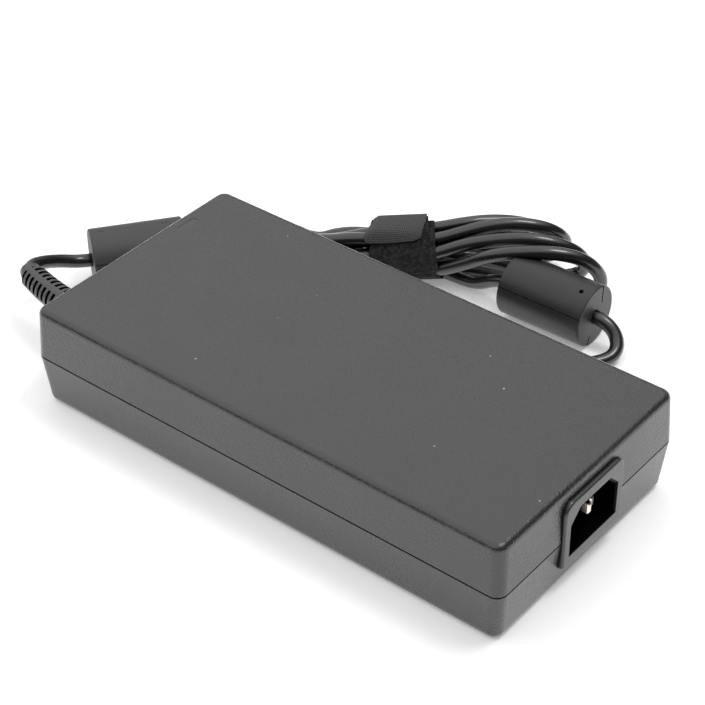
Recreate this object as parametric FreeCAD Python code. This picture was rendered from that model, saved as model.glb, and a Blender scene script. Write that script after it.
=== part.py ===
"""Laptop power adapter: a brick with a mains inlet, and its output cord tied up behind it.

Millimetres, +Z up. The origin is the middle of the brick's underside. +X points to the inlet end
and +Y to the side where the cord lies. Places outside the brick are measured from its back left
corner, with lay().
"""
import FreeCAD, Part
import math
import os
from FreeCAD import Placement, Rotation, Vector

# Brick case
LENGTH = 200.0
WIDTH = 100.0
HEIGHT = 40.0
PARTING = 20.5
WALL = 2.5
CASE_CORNER = 4.0
TOP_EDGE = 2.6
BOTTOM_EDGE = 3.3
TOP_DRAFT = 0.97
BOTTOM_DRAFT = 1.79
GROOVE = 0.6
GROOVE_DEPTH = 0.9
LIP_THICKNESS = 1.2
LIP_HEIGHT = 2.0
FIT = 0.1

# Status light
LIGHT_FROM_END = 7.1
LIGHT_Y = 22.75
LIGHT_WIDTH = 3.2
LIGHT_LENGTH = 9.7

# Mains inlet
INLET_WIDTH = 33.6
INLET_BOTTOM = 8.6
INLET_HEIGHT = 26.5
INLET_TOP_CORNER = 4.5
INLET_BOTTOM_CORNER = 1.7
INLET_PROUD = 1.1
INLET_EDGE = 0.9
INLET_DEPTH = 20.0
INLET_FLANGE = 1.6
SOCKET_WIDTH = 25.8
SOCKET_HEIGHT = 16.7
SOCKET_DEPTH = 17.5
SOCKET_CUT = 5.0
SOCKET_LEAD = 0.7
PIN_HIGH = 4.0
PIN_THICK = 2.0
PIN_PITCH = 7.0
PIN_STEP = 4.0
PIN_DROP = 0.9
PIN_TAIL = 3.0
EARTH_REACH = 15.8
LIVE_REACH = 12.4

# Circuit board and what stands on it
BOARD_LIFT = 5.5
BOARD_THICK = 1.6
BOARD_GAP = 2.5
POST_RADIUS = 3.5
POST_PIN = 1.3
POST_INSET = 9.0
SHEET = 0.4
SPREADER = 1.0

# Cord, strain relief and chokes
CORD = 5.3
RELIEF_NECK = 12.0
RELIEF_TIP = 9.6
RELIEF_FLANGE = 17.0
RELIEF_FLANGE_THICK = 2.0
RELIEF_CORE = 6.9
RELIEF_LENGTH = 42.7
RELIEF_COLLAR = 4.6
RELIEF_STEP = 0.9
SLIT = 1.5
SLIT_PITCH = 2.82
SLIT_COUNT = 12
SLIT_START = 3.5
SLIT_ROWS = 4
SLIT_ANGLE = 64.0
SLIT_TURN = 25.0
CHOKE_RADIUS = 12.0
CHOKE_LENGTH = 36.0
CHOKE_WALL = 2.0
CHOKE_END = 3.0
CHOKE_EDGE = 0.6
SEAM = 0.3
CHOKE_SLOT = 0.6
CHOKE_SLOT_DEPTH = 1.0

# Hank: nine strands on a ring through the strap
HANK_HEADING = 38.0
HANK_BEND = 0.48
RING_RADIUS = 8.9
RING_FIRST = 242.0
RING_STEP = 40.0
STRAP_WIDTH = 20.0
STRAP_THICK = 0.5
STRAP_SLACK = 0.3
STRAIGHT_LEFT = 7.0
STRAIGHT_RIGHT = 11.0

# Output plug
PLUG_GRIP = 10.4
PLUG_GRIP_LENGTH = 22.0
PLUG_TAIL = 12.0
PLUG_SLEEVE = 7.4
PLUG_BORE = 5.1
PLUG_REACH = 9.5

X_AXIS = Vector(1, 0, 0)
Z_AXIS = Vector(0, 0, 1)
CORNER_SIGNS = ((-1, -1), (1, -1), (1, 1), (-1, 1))


def lay(along, out, up):
    """A place measured from the brick's back left corner."""
    return Vector(-LENGTH / 2 + along, WIDTH / 2 + out, up)


# Strain relief exit, and places of the chokes and the tie
RELIEF_EXIT = lay(0, -73.3, PARTING)
CHOKE_1_START = lay(-35.1, -37.9, CHOKE_RADIUS)
CHOKE_1_YAW = 52.9
CHOKE_2_START = lay(100.3, 49.95, CHOKE_RADIUS)
CHOKE_2_YAW = 1.2
TIE = lay(53.6, 41.9, 13.4)
PLUG_START = lay(108.0, 16.0, PLUG_GRIP / 2)
PLUG_YAW = 187.6

# Cord routes: points chosen by hand, measured from the same corner
ROUTE_RELIEF = [
    lay(7.0, -73.3, PARTING),
    lay(-4.0, -73.3, PARTING),
    lay(-16.0, -71.9, 20.5),
    lay(-28.0, -69.4, 20.4),
    lay(-37.2, -67.0, 20.6),
    lay(-41.5, -62.8, 20.2),
    lay(-41.9, -56.0, 18.0),
    lay(-41.2, -48.8, 14.9),
    lay(-38.7, -42.7, 12.4),
    CHOKE_1_START,
]
ROUTE_TO_HANK = [
    lay(-13.4, -9.2, 12.0),
    lay(-9.2, -3.6, 11.6),
    lay(-5.2, 3.2, 7.6),
    lay(3.4, 7.6, 2.9),
    lay(15.2, 9.0, 2.8),
    lay(28.5, 13.2, 3.2),
    lay(38.8, 19.4, 6.6),
    lay(46.5, 25.9, 10.0),
]
ROUTE_FROM_HANK = [
    lay(69.6, 49.1, 5.6),
    lay(77.1, 50.8, 6.8),
    lay(85.5, 50.9, 9.6),
    lay(93.5, 49.8, 12.0),
    CHOKE_2_START,
]
ROUTE_TAIL = [
    lay(136.3, 50.7, 12.0),
    lay(141.6, 51.2, 10.8),
    lay(146.0, 50.6, 7.6),
    lay(148.6, 47.6, 4.6),
    lay(148.6, 43.0, 3.0),
    lay(145.6, 37.4, 2.8),
    lay(139.6, 30.2, 2.8),
    lay(131.0, 22.8, 2.8),
    lay(120.0, 17.6, 3.4),
    PLUG_START,
]

# Hank stations by place on the ring: distance along the bundle, offset to the far side, height
RIGHT_MIDDLE = {
    1: (40, -4.4, 2.9), 2: (36, 6.4, 2.9), 3: (32, 15.8, 4.2), 4: (29, 20.5, 12.5),
    5: (33, 5.4, 25.0), 6: (37, -1.0, 26.8), 7: (37, -9.4, 27.0), 8: (42, -21.6, 27.4),
}
RIGHT_END = {
    1: (66, -19.2, 2.9), 2: (58.5, -5.4, 2.9), 3: (51, 7.4, 2.9), 4: (43, 18.5, 6.5),
    5: (43, 6.5, 23.5), 6: (51, -2.8, 26.5), 7: (58.5, -12.1, 26.5), 8: (66, -21.4, 25.0),
}
LEFT_MIDDLE = {
    0: (-28, -3.4, 2.9), 1: (-28, 3.0, 2.9), 2: (-28, 9.4, 2.9), 3: (-27, 15.5, 6.0),
    4: (-27, 8.6, 13.7), 5: (-28, 2.2, 15.9), 6: (-28, -3.8, 17.4), 7: (-28, -9.6, 15.4),
}
LEFT_END = {
    0: (-42, -2.6, 2.9), 1: (-48, 4.4, 2.9), 2: (-48, 12.2, 2.9), 3: (-44, 20.9, 2.9),
    4: (-44, 10.0, 14.0), 5: (-48, 2.4, 18.0), 6: (-48, -4.6, 21.5), 7: (-42, -11.0, 22.0),
}
LEVEL_BELOW = 3.0
LEVEL_ABOVE = 24.5

parts = {}


# Shapes used more than once

def box(x0, x1, y0, y1, z0, z1):
    return Part.makeBox(x1 - x0, y1 - y0, z1 - z0, Vector(x0, y0, z0))


def block(x, y, z, size_x, size_y, size_z, edge=0.0):
    """A block standing on height z with its middle over (x, y), its edges rounded."""
    shape = box(x - size_x / 2, x + size_x / 2, y - size_y / 2, y + size_y / 2, z, z + size_z)
    return shape.makeFillet(edge, shape.Edges) if edge else shape


def rounded_plate(half_x, half_y, radius, z0, z1):
    shape = box(-half_x, half_x, -half_y, half_y, z0, z1)
    upright = [e for e in shape.Edges if e.BoundBox.ZLength > (z1 - z0) / 2]
    return shape.makeFillet(radius, upright)


def tapered_block(z0, half_x0, half_y0, z1, half_x1, half_y1, corner):
    """A block with flat, slightly leaning sides and rounded upright corners."""
    rings = []
    for z, half_x, half_y in ((z0, half_x0, half_y0), (z1, half_x1, half_y1)):
        plate = rounded_plate(half_x, half_y, corner, z, z + corner)
        rings.append(min(plate.Faces, key=lambda face: face.CenterOfMass.z).OuterWire)
    return Part.makeLoft(rings, True, True)


def round_rim(shape, z, radius):
    """Rounds every edge that lies at height z."""
    rim = [e for e in shape.Edges if abs(e.BoundBox.ZMin - z) < 0.001 and e.BoundBox.ZLength < 0.001]
    return shape.makeFillet(radius, rim)


def turned(profile, start, direction):
    """A solid turned from (distance along, radius) points about an axis through start."""
    points = [Vector(a, r, 0) for a, r in profile]
    outline = Part.Face(Part.makePolygon(points + points[:1]))
    solid = outline.revolve(Vector(0, 0, 0), X_AXIS, 360)
    solid.Placement = Placement(start, Rotation(X_AXIS, direction))
    return solid


def ring_sector(radius_in, radius_out, length, angle):
    """Part of a ring about X from x = 0, its middle at +Y, angle degrees wide."""
    outer = Part.makeCylinder(radius_out, length, Vector(0, 0, 0), X_AXIS, angle)
    ring = outer.cut(Part.makeCylinder(radius_in, length, Vector(0, 0, 0), X_AXIS))
    solid = Part.Solid(ring.Solids[0])
    middle = solid.CenterOfMass
    turn = -math.degrees(math.atan2(middle.z, middle.y))
    solid.rotate(Vector(0, 0, 0), X_AXIS, turn)
    return solid


def single(shape):
    """The one solid of a result, without needless splits in its faces."""
    cleaned = shape.removeSplitter()
    return cleaned.Solids[0] if len(cleaned.Solids) == 1 else cleaned


# Cord tubes

def cord_path(points):
    """Straight runs joined by tangent arcs as large as the runs allow, with the radii."""
    edges = []
    radii = []
    start = points[0]
    for before, corner, after in zip(points, points[1:], points[2:]):
        back = before - corner
        ahead = after - corner
        reach = 0.45 * min(back.Length, ahead.Length)
        back.normalize()
        ahead.normalize()
        half_turn = (math.pi - back.getAngle(ahead)) / 2
        radius = reach / math.tan(half_turn)
        middle = back + ahead
        middle.normalize()
        hub = radius / math.cos(half_turn)
        arc_in = corner + back * reach
        arc_out = corner + ahead * reach
        arc_top = corner + middle * (hub - radius)
        edges.append(Part.LineSegment(start, arc_in).toShape())
        edges.append(Part.Arc(arc_in, arc_top, arc_out).toShape())
        radii.append(radius)
        start = arc_out
    edges.append(Part.LineSegment(start, points[-1]).toShape())
    return Part.Wire(edges), radii


def pipe(wire, radius):
    """A round tube along a wire."""
    first = wire.Edges[0]
    start = first.valueAt(first.FirstParameter)
    heading = first.tangentAt(first.FirstParameter)
    ring = Part.Wire([Part.makeCircle(radius, start, heading)])
    return Part.Solid(wire.makePipeShell([ring], True, False).Solids[0])


def cord_tube(name, points):
    wire, radii = cord_path(points)
    tube = pipe(wire, CORD / 2)
    expected = math.pi * CORD ** 2 / 4 * wire.Length
    print(name, "length %.1f" % wire.Length, "least radius %.1f" % min(radii),
          "volume ratio %.4f" % (tube.Volume / expected))
    parts[name] = tube


# Hank: each strand runs straight through the strap and folds over at both ends

def along_bundle(distance):
    """Middle of the bundle and its heading, at a distance from the tie. It bends on the left."""
    heading = math.radians(HANK_HEADING)
    step = Vector(math.cos(heading), math.sin(heading), 0)
    middle = Vector(TIE.x, TIE.y, 0) + step * max(distance, -STRAIGHT_LEFT)
    if distance >= -STRAIGHT_LEFT:
        return middle, heading
    bend = math.radians(HANK_BEND)
    turned_to = heading + bend * (distance + STRAIGHT_LEFT)
    bent_x = (math.sin(turned_to) - math.sin(heading)) / bend
    bent_y = (math.cos(heading) - math.cos(turned_to)) / bend
    return middle + Vector(bent_x, bent_y, 0), turned_to


def bundle_point(distance, across, height):
    middle, heading = along_bundle(distance)
    side = Vector(-math.sin(heading), math.cos(heading), 0)
    return middle + side * across + Vector(0, 0, height)


def bundle_heading(distance):
    heading = along_bundle(distance)[1]
    return Vector(math.cos(heading), math.sin(heading), 0)


def ring_place(place):
    """Offset and height of one strand where it passes through the strap."""
    angle = math.radians(RING_FIRST + RING_STEP * place)
    return RING_RADIUS * math.cos(angle), TIE.z + RING_RADIUS * math.sin(angle)


def strand(place):
    """Points of one strand from left to right, each with its heading or None."""
    across, height = ring_place(place)
    points = []
    if place in LEFT_END:
        left = LEFT_END[place]
        points.append((bundle_point(*left), bundle_heading(left[0])))
        points.append((bundle_point(*LEFT_MIDDLE[place]), None))
    points.append((bundle_point(-STRAIGHT_LEFT, across, height), bundle_heading(0)))
    points.append((bundle_point(STRAIGHT_RIGHT, across, height), bundle_heading(0)))
    if place in RIGHT_END:
        right = RIGHT_END[place]
        points.append((bundle_point(*RIGHT_MIDDLE[place]), None))
        points.append((bundle_point(*right), bundle_heading(right[0])))
    return points


def hank_points():
    """All points of the hank in order. Facing ends of two strands are joined by a half turn."""
    points = strand(8)
    place = 8
    rightward = True
    while place != 0:
        place = (9 if rightward else 7) - place
        rightward = not rightward
        following = strand(place)
        if not rightward:
            following = [(p, t * -1 if t else None) for p, t in reversed(following)]
        points.extend(following)
    return points


def settle_headings(points):
    """Gives every point a heading. Strands lie level on the floor and on top of the hank."""
    settled = []
    for k, (point, heading) in enumerate(points):
        if heading is None:
            back = point - points[k - 1][0]
            ahead = points[k + 1][0] - point
            heading = back * (ahead.Length / back.Length) + ahead * (back.Length / ahead.Length)
            if point.z < LEVEL_BELOW or point.z > LEVEL_ABOVE:
                heading.z = 0
        heading = Vector(heading)
        heading.normalize()
        settled.append((point, heading))
    return settled


def arc_middle(start, heading, end):
    """Middle of the arc that leaves start along heading and reaches end, or None on a line."""
    chord = end - start
    length = chord.Length
    turn = heading.getAngle(chord)
    if turn < 1e-4:
        return None
    chord.normalize()
    bulge = heading - chord * heading.dot(chord)
    bulge.normalize()
    return (start + end) * 0.5 + bulge * (length / 2 * math.tan(turn / 2))


def arc_or_line(start, middle, end):
    if middle is None:
        return Part.LineSegment(start, end).toShape()
    return Part.Arc(start, middle, end).toShape()


def biarc(start, heading, end, end_heading):
    """Two tangent arcs between two points with given headings."""
    chord = end - start
    both = heading + end_heading
    spread = 2 * (1 - heading.dot(end_heading))
    if spread < 1e-9:
        reach = chord.dot(chord) / (4 * chord.dot(end_heading))
    else:
        lead = chord.dot(both)
        reach = (math.sqrt(lead * lead + spread * chord.dot(chord)) - lead) / spread
    joint = (start + end + (heading - end_heading) * reach) * 0.5
    first = arc_or_line(start, arc_middle(start, heading, joint), joint)
    second = arc_or_line(joint, arc_middle(end, end_heading * -1, joint), end)
    return [first, second]


def least_gap(wires, ignore):
    """Least distance between tube surfaces, measured on points about 1 mm apart."""
    points = []
    travelled = 0.0
    for wire in wires:
        count = int(wire.Length)
        spacing = wire.Length / count
        for k, p in enumerate(wire.discretize(Number=count + 1)):
            points.append((travelled + k * spacing, p.x, p.y, p.z))
        travelled += wire.Length
    least = 1e9
    for k, (s, x, y, z) in enumerate(points):
        for other_s, other_x, other_y, other_z in points[k + ignore:]:
            if abs(other_x - x) < 2 * CORD and abs(other_y - y) < 2 * CORD:
                distance = math.dist((x, y, z), (other_x, other_y, other_z))
                if other_s - s > ignore and distance < least:
                    least = distance
    return least - CORD


def make_hank():
    points = settle_headings(hank_points())
    edges = []
    for (start, heading), (end, end_heading) in zip(points, points[1:]):
        edges.extend(biarc(start, heading, end, end_heading))
    wire = Part.Wire(edges)
    tube = pipe(wire, CORD / 2)
    expected = math.pi * CORD ** 2 / 4 * wire.Length
    print("cord_hank length %.1f" % wire.Length, "points", len(points),
          "volume ratio %.4f" % (tube.Volume / expected), "valid", tube.isValid())
    lead_in = cord_path(ROUTE_TO_HANK + [points[0][0]])[0]
    lead_out = cord_path([points[-1][0]] + ROUTE_FROM_HANK)[0]
    print("least gap in the hank %.2f" % least_gap([wire], 20),
          "with its leads %.2f" % least_gap([lead_in, wire, lead_out], 20))
    parts["cord_hank"] = tube
    return points[0][0], points[-1][0]


def make_strap():
    """A band round the strands, with its end lapped over the top."""
    inner = RING_RADIUS + CORD / 2 + STRAP_SLACK
    start = Vector(-STRAP_WIDTH / 2, 0, 0)
    outer = inner + STRAP_THICK
    band = Part.makeCylinder(outer, STRAP_WIDTH, start, X_AXIS)
    band = band.cut(Part.makeCylinder(inner, STRAP_WIDTH, start, X_AXIS))
    lap = ring_sector(outer, outer + STRAP_THICK, STRAP_WIDTH, 146)
    lap.translate(start)
    lap.rotate(Vector(0, 0, 0), X_AXIS, 63)
    strap = band.fuse(lap)
    strap.Placement = Placement(TIE, Rotation(Z_AXIS, HANK_HEADING))
    parts["hank_strap"] = single(strap)


# Case

def inlet_outline(margin, x0, x1):
    """The inlet's outline, wider by margin all round, as a prism from x0 to x1."""
    half = INLET_WIDTH / 2 + margin
    low = INLET_BOTTOM - margin
    high = INLET_BOTTOM + INLET_HEIGHT + margin
    prism = box(x0, x1, -half, half, low, high)
    lengthwise = [e for e in prism.Edges if e.BoundBox.XLength > (x1 - x0) / 2]
    top = [e for e in lengthwise if e.BoundBox.ZMin > PARTING]
    prism = prism.makeFillet(INLET_TOP_CORNER + margin, top)
    lengthwise = [e for e in prism.Edges if e.BoundBox.XLength > (x1 - x0) / 2]
    bottom = [e for e in lengthwise if e.BoundBox.ZMax < low + 0.01]
    return prism.makeFillet(INLET_BOTTOM_CORNER + margin, bottom)


def light_slot(margin, z0, z1):
    """A slot with round ends, for the light window."""
    x = -LENGTH / 2 + LIGHT_FROM_END
    radius = LIGHT_WIDTH / 2 + margin
    offset = (LIGHT_LENGTH - LIGHT_WIDTH) / 2
    bar = box(x - radius, x + radius, LIGHT_Y - offset, LIGHT_Y + offset, z0, z1)
    for side in (-1, 1):
        end = Vector(x, LIGHT_Y + side * offset, z0)
        bar = bar.fuse(Part.makeCylinder(radius, z1 - z0, end))
    return single(bar)


def relief_hole(radius, x0, x1):
    start = Vector(x0, RELIEF_EXIT.y, PARTING)
    return Part.makeCylinder(radius, x1 - x0, start, X_AXIS)


def make_covers():
    half_x = LENGTH / 2
    half_y = WIDTH / 2
    inner_x = half_x - WALL
    inner_y = half_y - WALL
    inlet_hole = inlet_outline(FIT, half_x - 2 * WALL, half_x + 1)
    relief_cut = relief_hole(RELIEF_NECK / 2 + FIT / 2, -half_x - 1, -inner_x + 1)

    top = tapered_block(PARTING, half_x, half_y, HEIGHT, half_x - TOP_DRAFT, half_y - TOP_DRAFT,
                        CASE_CORNER)
    top = round_rim(top, HEIGHT, TOP_EDGE)
    hollow = tapered_block(PARTING, inner_x, inner_y, HEIGHT - WALL, inner_x - TOP_DRAFT,
                           inner_y - TOP_DRAFT, CASE_CORNER - WALL)
    top = top.cut(hollow).cut(inlet_hole).cut(relief_cut)
    top = top.cut(light_slot(0.0, HEIGHT - WALL - 1, HEIGHT + 1))
    parts["top_cover"] = single(top)

    low_x = half_x - BOTTOM_DRAFT
    low_y = half_y - BOTTOM_DRAFT
    rim = PARTING - GROOVE
    bottom = tapered_block(0, low_x, low_y, rim, half_x, half_y, CASE_CORNER)
    bottom = round_rim(bottom, 0, BOTTOM_EDGE)
    inset_x = half_x - GROOVE_DEPTH
    inset_y = half_y - GROOVE_DEPTH
    step = rounded_plate(inset_x, inset_y, CASE_CORNER - GROOVE_DEPTH, rim, PARTING)
    bottom = bottom.fuse(step)
    hollow = tapered_block(WALL, low_x - WALL, low_y - WALL, PARTING, inner_x, inner_y,
                           CASE_CORNER - WALL)
    bottom = bottom.cut(hollow)
    lip_x = inner_x - FIT
    lip_y = inner_y - FIT
    lip_top = PARTING + LIP_HEIGHT
    lip = rounded_plate(lip_x, lip_y, CASE_CORNER - WALL, PARTING, lip_top)
    root = rounded_plate(inner_x + FIT, inner_y + FIT, CASE_CORNER - WALL, PARTING - LIP_HEIGHT,
                         PARTING)
    lip = lip.fuse(root)
    lip = lip.cut(rounded_plate(lip_x - LIP_THICKNESS, lip_y - LIP_THICKNESS, FIT,
                                PARTING - LIP_HEIGHT - 1, lip_top + 1))
    inlet_room = INLET_WIDTH / 2 + INLET_FLANGE + FIT
    relief_room = RELIEF_FLANGE / 2 + FIT
    lip = lip.cut(box(inner_x - 2 * WALL, half_x, -inlet_room, inlet_room, 0, HEIGHT))
    lip = lip.cut(box(-half_x, -inner_x + 2 * WALL, RELIEF_EXIT.y - relief_room,
                      RELIEF_EXIT.y + relief_room, 0, HEIGHT))
    bottom = bottom.fuse(lip)
    for x, y in post_places():
        bottom = bottom.fuse(Part.makeCylinder(POST_RADIUS, BOARD_LIFT, Vector(x, y, WALL)))
        pin = Part.makeCylinder(POST_PIN, BOARD_LIFT + 2 * BOARD_THICK, Vector(x, y, WALL))
        bottom = bottom.fuse(pin)
    bottom = bottom.cut(inlet_hole).cut(relief_cut)
    parts["bottom_cover"] = single(bottom)


# Mains inlet

def make_inlet():
    face = LENGTH / 2 + INLET_PROUD
    flange_low = INLET_BOTTOM - INLET_FLANGE
    inner_wall = LENGTH / 2 - WALL - BOTTOM_DRAFT * (PARTING - flange_low) / PARTING - FIT
    back = face - INLET_DEPTH
    bezel = inlet_outline(0.0, inner_wall - INLET_FLANGE, face)
    front = [e for e in bezel.Edges if e.BoundBox.XMin > face - 0.001]
    bezel = bezel.makeFillet(INLET_EDGE, front)
    flange = inlet_outline(INLET_FLANGE, inner_wall - INLET_FLANGE, inner_wall)
    middle = INLET_BOTTOM + INLET_HEIGHT / 2
    half = SOCKET_WIDTH / 2
    low = middle - SOCKET_HEIGHT / 2
    body_wall = PIN_THICK / 2
    body = box(back, inner_wall, -half - body_wall, half + body_wall, low - body_wall,
               low + SOCKET_HEIGHT + body_wall)
    socket = socket_prism(half, low, low + SOCKET_HEIGHT, face - SOCKET_DEPTH, face + 1)
    lead = socket_prism(half, low, low + SOCKET_HEIGHT, face, face + 1)
    wide = socket_prism(half + SOCKET_LEAD, low - SOCKET_LEAD, low + SOCKET_HEIGHT + SOCKET_LEAD,
                        face, face + 1)
    mouth = Part.makeLoft([end_wire(lead, face - SOCKET_LEAD, face), end_wire(wide, face, face)],
                          True, True)
    housing = bezel.fuse(flange).fuse(body).cut(socket).cut(mouth)
    for y, z, tip in pin_places(middle, face):
        housing = housing.cut(pin_blade(y, z, back - 1, tip))
    parts["inlet_housing"] = single(housing)
    names = ("inlet_earth_pin", "inlet_neutral_pin", "inlet_line_pin")
    for name, (y, z, tip) in zip(names, pin_places(middle, face)):
        pin = pin_blade(y, z, back - PIN_TAIL, tip)
        rim = [e for e in pin.Edges if e.BoundBox.XMin > tip - 0.001]
        parts[name] = pin.makeChamfer(PIN_THICK / 4, rim)
    return back - PIN_TAIL, middle


def socket_prism(half, low, high, x0, x1):
    """The socket's outline: a rectangle with its two top corners cut off."""
    outline = [
        Vector(x0, -half, low), Vector(x0, half, low), Vector(x0, half, high - SOCKET_CUT),
        Vector(x0, half - SOCKET_CUT, high), Vector(x0, -half + SOCKET_CUT, high),
        Vector(x0, -half, high - SOCKET_CUT),
    ]
    face = Part.Face(Part.makePolygon(outline + outline[:1]))
    return face.extrude(Vector(x1 - x0, 0, 0))


def end_wire(prism, x, face_x):
    """The outline of a prism's end at face_x, moved to x."""
    end = min(prism.Faces, key=lambda face: abs(face.CenterOfMass.x - face_x))
    wire = end.OuterWire.copy()
    wire.translate(Vector(x - face_x, 0, 0))
    return wire


def pin_places(middle, face):
    """Place and tip of the earth, neutral and line pins."""
    high = middle - PIN_DROP + PIN_STEP / 2
    low = high - PIN_STEP
    base = face - SOCKET_DEPTH
    return ((0, high, base + EARTH_REACH), (-PIN_PITCH, low, base + LIVE_REACH),
            (PIN_PITCH, low, base + LIVE_REACH))


def pin_blade(y, z, x0, x1):
    return box(x0, x1, y - PIN_THICK / 2, y + PIN_THICK / 2, z - PIN_HIGH / 2, z + PIN_HIGH / 2)


# Circuit board and its components

BOARD_LEFT = -LENGTH / 2 + WALL + BOARD_GAP
BOARD_RIGHT = LENGTH / 2 + INLET_PROUD - INLET_DEPTH - BOARD_GAP
BOARD_HALF = WIDTH / 2 - WALL - BOARD_GAP
BOARD_TOP = WALL + BOARD_LIFT + BOARD_THICK
CEILING = HEIGHT - WALL - SPREADER
PRIMARY_X = (BOARD_LEFT + BOARD_RIGHT) / 2
HEATSINK_INSET = 4.0
HEATSINK_THICK = 2.0
PAD_SIDE = 24.0

# Wound parts: place from the board's middle, size along X and Y, leg radius, pad over it
WOUND = {
    "boost_inductor": (18, -6, 30, 28, 6, 4.9),
    "transformer": (-24, -2, 38, 36, 7, 1.9),
}


def post_places():
    """Middle of each post that carries the board."""
    for sx, sy in CORNER_SIGNS:
        x = BOARD_RIGHT - POST_INSET if sx > 0 else BOARD_LEFT + POST_INSET
        yield x, sy * (BOARD_HALF - POST_INSET / 2)


def make_board():
    bottom = WALL + BOARD_LIFT
    board = box(BOARD_LEFT, BOARD_RIGHT, -BOARD_HALF, BOARD_HALF, bottom, BOARD_TOP)
    sheet = box(BOARD_LEFT, BOARD_RIGHT, -BOARD_HALF, BOARD_HALF, WALL, WALL + SHEET)
    for x, y in post_places():
        board = board.cut(Part.makeCylinder(POST_PIN + FIT, BOARD_THICK, Vector(x, y, bottom)))
        sheet = sheet.cut(Part.makeCylinder(POST_RADIUS + FIT, SHEET, Vector(x, y, WALL)))
    parts["circuit_board"] = board
    parts["insulation_sheet"] = sheet
    light_right = -LENGTH / 2 + LIGHT_FROM_END + LIGHT_WIDTH + 2
    spreader = box(light_right, BOARD_RIGHT, -BOARD_HALF, BOARD_HALF, CEILING, CEILING + SPREADER)
    parts["heat_spreader"] = spreader


def make_light():
    emitter_high = 1.8
    x = -LENGTH / 2 + LIGHT_FROM_END
    parts["status_led"] = block(x, LIGHT_Y, BOARD_TOP, LIGHT_WIDTH, LIGHT_WIDTH, emitter_high)
    stem = block(x, LIGHT_Y, BOARD_TOP + emitter_high, LIGHT_WIDTH - 2 * FIT,
                 LIGHT_LENGTH - LIGHT_WIDTH, HEIGHT - WALL - BOARD_TOP - emitter_high)
    parts["light_pipe"] = single(stem.fuse(light_slot(0.0, HEIGHT - WALL, HEIGHT - FIT)))


def wound_core(name, x, y, size_x, size_y, height, leg):
    """A ferrite core with end plates, side walls and a round leg, and its winding round the leg."""
    plate = height / 5
    window = min(size_x, size_y) / 2 - plate / 2
    core = block(x, y, BOARD_TOP, size_x, size_y, height)
    drum = Part.makeCylinder(window, height - 2 * plate, Vector(x, y, BOARD_TOP + plate))
    slot = box(x - size_x, x + size_x, y - window * 0.8, y + window * 0.8, BOARD_TOP + plate,
               BOARD_TOP + height - plate)
    post = Part.makeCylinder(leg, height - 2 * plate, Vector(x, y, BOARD_TOP + plate))
    parts[name + "_core"] = single(core.cut(drum.fuse(slot)).fuse(post))
    winding = Part.makeCylinder(window, height - 2 * plate, Vector(x, y, BOARD_TOP + plate))
    winding = winding.cut(post)
    parts[name + "_winding"] = winding


def make_line_choke(x, y):
    """A ring core standing on edge, with a winding on each side."""
    outer = 12.0
    inner = 5.0
    thick = 1.4
    width = 11.0
    half_angle = 65.0
    middle = Vector(x - width / 2, y, BOARD_TOP + outer * math.sin(math.radians(half_angle)))
    core = Part.makeCylinder(outer - thick, width - 2 * thick, Vector(0, 0, 0), X_AXIS)
    core = core.cut(Part.makeCylinder(inner + thick, width, Vector(0, 0, 0), X_AXIS))
    core.translate(middle + Vector(thick, 0, 0))
    windings = []
    for side in (0, 180):
        winding = ring_sector(inner, outer, width, 2 * half_angle)
        winding.rotate(Vector(0, 0, 0), X_AXIS, side)
        winding.translate(middle)
        windings.append(winding.cut(core))
    parts["line_choke_core"] = core
    parts["line_choke_winding"] = Part.makeCompound(windings)


def make_heatsink(name, x0, x1, y, side):
    """An upright aluminium plate with its top bent over towards the board's edge."""
    half = HEATSINK_THICK / 2
    flange = 2.6
    plate = box(x0, x1, y - half, y + half, BOARD_TOP, CEILING)
    low, wide = sorted((y, y + side * (half + flange)))
    parts[name] = single(plate.fuse(box(x0, x1, low, wide, CEILING - HEATSINK_THICK, CEILING)))


def transistors(xs, y, side):
    """Flat packages against a heatsink at y, whose bent top points to the given side."""
    thick = 4.5
    lift = 3.0
    middle = y - side * (HEATSINK_THICK + thick) / 2
    solids = []
    for x in xs:
        package = block(x, middle, BOARD_TOP + lift, 10.0, thick, 15.0)
        for leg in (-2.5, 0, 2.5):
            package = package.fuse(block(x + leg, middle, BOARD_TOP, 0.8, 0.6, lift + 1.0))
        solids.append(single(package))
    return Part.makeCompound(solids)


def standing_can(x, y, diameter, height):
    """A capacitor can with a rolled upper edge."""
    radius = diameter / 2
    roll = 0.6
    profile = [(0, 0), (0, radius), (height - roll, radius), (height, radius - roll), (height, 0)]
    return turned(profile, Vector(x, y, BOARD_TOP), Z_AXIS)


def lying_can(x, y, diameter, length):
    """A capacitor can on its side along X, with rolled ends."""
    radius = diameter / 2
    roll = 0.8
    profile = [(0, 0), (0, radius - roll), (roll, radius), (length - roll, radius),
               (length, radius - roll), (length, 0)]
    return turned(profile, Vector(x, y, BOARD_TOP + radius), X_AXIS)


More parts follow.
